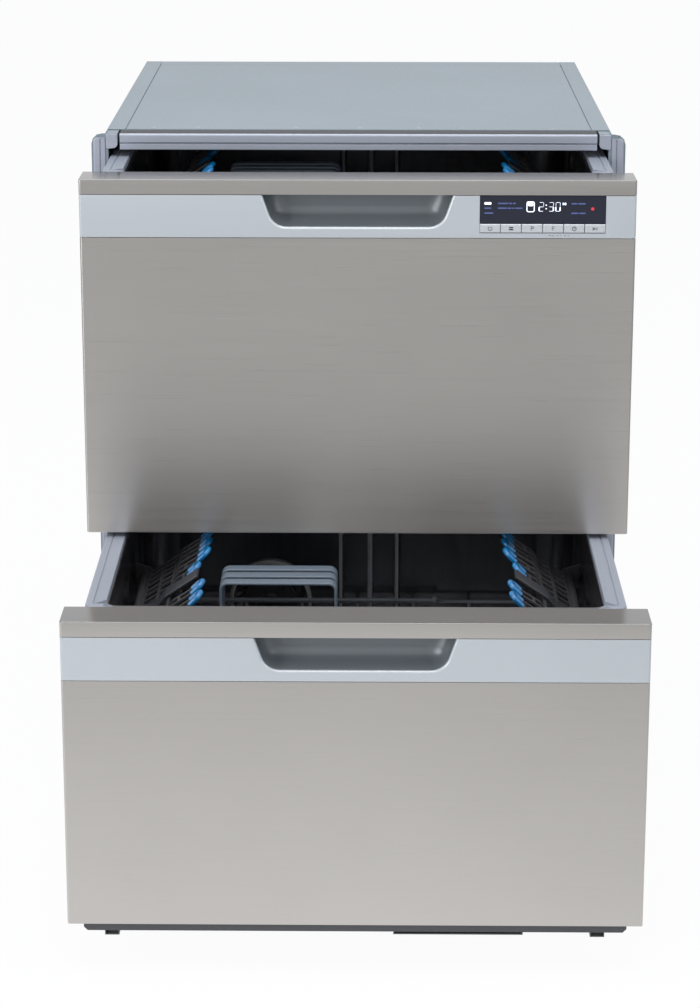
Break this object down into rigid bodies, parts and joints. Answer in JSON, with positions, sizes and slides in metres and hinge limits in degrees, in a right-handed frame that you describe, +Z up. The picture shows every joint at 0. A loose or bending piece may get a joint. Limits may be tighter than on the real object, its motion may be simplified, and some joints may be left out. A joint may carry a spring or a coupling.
{
  "type": "double drawer dishwasher",
  "caption": "Built-under dishwasher with an upper and a lower wash drawer on telescopic runners, drawn partly open from a folded steel cabinet.",
  "frame": {"origin": "on the floor, under the middle of the whole object with its drawers as they rest", "axes": "+Z up, +Y from the drawer fronts to the rear panel, +X to the right of someone who faces the fronts"},
  "size_m": [0.598, 0.961, 0.82],
  "materials": {
    "cabinet_sheet": "satin galvanised sheet",
    "front_steel": "horizontally brushed",
    "tub_steel": "polished drawn steel",
    "silver_plastic": "satin silver",
    "liner_plastic": "satin",
    "rim_plastic": "satin blue grey",
    "dark_plastic": "satin",
    "grey_plastic": "satin",
    "shelf_plastic": "satin with blue soft tips",
    "rack_wire": "nylon coated wire",
    "window_gloss": "gloss",
    "button_plastic": "satin silver",
    "runner_steel": "zinc plated",
    "seal_rubber": "matt",
    "white_plastic": "satin"
  },
  "bodies": {
    "cabinet": {"side_panel_left": "cabinet_sheet", "side_panel_right": "cabinet_sheet", "top_panel": "cabinet_sheet", "top_front_rail": "cabinet_sheet", "rear_panel": "cabinet_sheet", "base_pan": "cabinet_sheet", "middle_rail": "cabinet_sheet", "levelling_feet": "dark_plastic", "cabinet_runners": "runner_steel", "water_inlet": "white_plastic", "drain_outlet": "dark_plastic", "cable_gland": "dark_plastic"},
    "upper_drawer": {"upper_tub": "tub_steel", "upper_tub_rim": "rim_plastic", "upper_filter": "grey_plastic", "upper_pump": "white_plastic", "upper_rack": "rack_wire", "upper_cutlery_basket": "grey_plastic", "upper_dispenser": "grey_plastic", "upper_vent_grille": "grey_plastic", "upper_runner_inner": "runner_steel", "upper_front_cap": "front_steel", "upper_handle_band": "silver_plastic", "upper_front_panel": "front_steel", "upper_front_liner": "liner_plastic", "upper_display_window": "window_gloss"},
    "upper_runner_middle": {"upper_runner_middle": "runner_steel"},
    "upper_lid": {"upper_lid": "rim_plastic", "upper_lid_seal": "seal_rubber"},
    "upper_spray_arm": {"upper_spray_arm": "dark_plastic"},
    "upper_cup_shelf_left": {"upper_cup_shelf_left": "shelf_plastic"},
    "upper_cup_shelf_right": {"upper_cup_shelf_right": "shelf_plastic"},
    "upper_dispenser_lid": {"upper_dispenser_lid": "grey_plastic"},
    "lower_drawer": {"lower_tub": "tub_steel", "lower_tub_rim": "rim_plastic", "lower_filter": "grey_plastic", "lower_pump": "white_plastic", "lower_rack": "rack_wire", "lower_cutlery_basket": "grey_plastic", "lower_dispenser": "grey_plastic", "lower_vent_grille": "grey_plastic", "lower_runner_inner": "runner_steel", "lower_front_cap": "front_steel", "lower_handle_band": "silver_plastic", "lower_front_panel": "front_steel", "lower_front_liner": "liner_plastic", "lower_kick_rail": "rim_plastic"},
    "lower_runner_middle": {"lower_runner_middle": "runner_steel"},
    "lower_lid": {"lower_lid": "rim_plastic", "lower_lid_seal": "seal_rubber"},
    "lower_spray_arm": {"lower_spray_arm": "dark_plastic"},
    "lower_cup_shelf_left": {"lower_cup_shelf_left": "shelf_plastic"},
    "lower_cup_shelf_right": {"lower_cup_shelf_right": "shelf_plastic"},
    "lower_dispenser_lid": {"lower_dispenser_lid": "grey_plastic"},
    "button_power": {"upper_button_power": "button_plastic"},
    "button_half_load": {"upper_button_half_load": "button_plastic"},
    "button_program": {"upper_button_program": "button_plastic"},
    "button_function": {"upper_button_function": "button_plastic"},
    "button_delay": {"upper_button_delay": "button_plastic"},
    "button_start": {"upper_button_start": "button_plastic"}
  },
  "joints": [
    {"name": "upper_drawer_slide", "type": "slide", "parent": "cabinet", "child": "upper_drawer", "axis": [0, -1, 0], "range_m": [-0.089, 0.391]},
    {"name": "upper_runner_slide", "type": "slide", "parent": "cabinet", "child": "upper_runner_middle", "axis": [0, -1, 0], "range_m": [-0.0445, 0.1955]},
    {"name": "upper_lid_lift", "type": "slide", "parent": "cabinet", "child": "upper_lid", "axis": [0, 0, 1], "range_m": [-0.009, 0]},
    {"name": "upper_spray_arm_spin", "type": "hinge", "parent": "upper_drawer", "child": "upper_spray_arm", "pos_m": [0, 0.0605, 0.543], "axis": [0, 0, 1], "continuous": true},
    {"name": "upper_cup_shelf_left_fold", "type": "hinge", "parent": "upper_drawer", "child": "upper_cup_shelf_left", "pos_m": [-0.24, -0.0005, 0.725], "axis": [0, -1, 0], "range_deg": [-33, 0]},
    {"name": "upper_cup_shelf_right_fold", "type": "hinge", "parent": "upper_drawer", "child": "upper_cup_shelf_right", "pos_m": [0.24, -0.0005, 0.725], "axis": [0, 1, 0], "range_deg": [-33, 0]},
    {"name": "upper_dispenser_lid_hinge", "type": "hinge", "parent": "upper_drawer", "child": "upper_dispenser_lid", "pos_m": [-0.026, -0.1297, 0.696], "axis": [-1, 0, 0], "range_deg": [0, 95]},
    {"name": "lower_drawer_slide", "type": "slide", "parent": "cabinet", "child": "lower_drawer", "axis": [0, -1, 0], "range_m": [-0.352, 0.128]},
    {"name": "lower_runner_slide", "type": "slide", "parent": "cabinet", "child": "lower_runner_middle", "axis": [0, -1, 0], "range_m": [-0.176, 0.064]},
    {"name": "lower_lid_lift", "type": "slide", "parent": "cabinet", "child": "lower_lid", "axis": [0, 0, 1], "range_m": [-0.009, 0]},
    {"name": "lower_spray_arm_spin", "type": "hinge", "parent": "lower_drawer", "child": "lower_spray_arm", "pos_m": [0, -0.2025, 0.14], "axis": [0, 0, 1], "continuous": true},
    {"name": "lower_cup_shelf_left_fold", "type": "hinge", "parent": "lower_drawer", "child": "lower_cup_shelf_left", "pos_m": [-0.24, -0.2635, 0.322], "axis": [0, -1, 0], "range_deg": [-33, 0]},
    {"name": "lower_cup_shelf_right_fold", "type": "hinge", "parent": "lower_drawer", "child": "lower_cup_shelf_right", "pos_m": [0.24, -0.2635, 0.322], "axis": [0, 1, 0], "range_deg": [-33, 0]},
    {"name": "lower_dispenser_lid_hinge", "type": "hinge", "parent": "lower_drawer", "child": "lower_dispenser_lid", "pos_m": [-0.026, -0.3927, 0.293], "axis": [-1, 0, 0], "range_deg": [0, 95]},
    {"name": "button_power_press", "type": "slide", "parent": "upper_drawer", "child": "button_power", "axis": [0, 1, 0], "range_m": [0, 0.0012], "stiffness_N_per_m": 400},
    {"name": "button_half_load_press", "type": "slide", "parent": "upper_drawer", "child": "button_half_load", "axis": [0, 1, 0], "range_m": [0, 0.0012], "stiffness_N_per_m": 400},
    {"name": "button_program_press", "type": "slide", "parent": "upper_drawer", "child": "button_program", "axis": [0, 1, 0], "range_m": [0, 0.0012], "stiffness_N_per_m": 400},
    {"name": "button_function_press", "type": "slide", "parent": "upper_drawer", "child": "button_function", "axis": [0, 1, 0], "range_m": [0, 0.0012], "stiffness_N_per_m": 400},
    {"name": "button_delay_press", "type": "slide", "parent": "upper_drawer", "child": "button_delay", "axis": [0, 1, 0], "range_m": [0, 0.0012], "stiffness_N_per_m": 400},
    {"name": "button_start_press", "type": "slide", "parent": "upper_drawer", "child": "button_start", "axis": [0, 1, 0], "range_m": [0, 0.0012], "stiffness_N_per_m": 400}
  ],
  "couplings": [
    {"joint": "upper_runner_slide", "follows": "upper_drawer_slide", "ratio": 0.5},
    {"joint": "lower_runner_slide", "follows": "lower_drawer_slide", "ratio": 0.5}
  ]
}
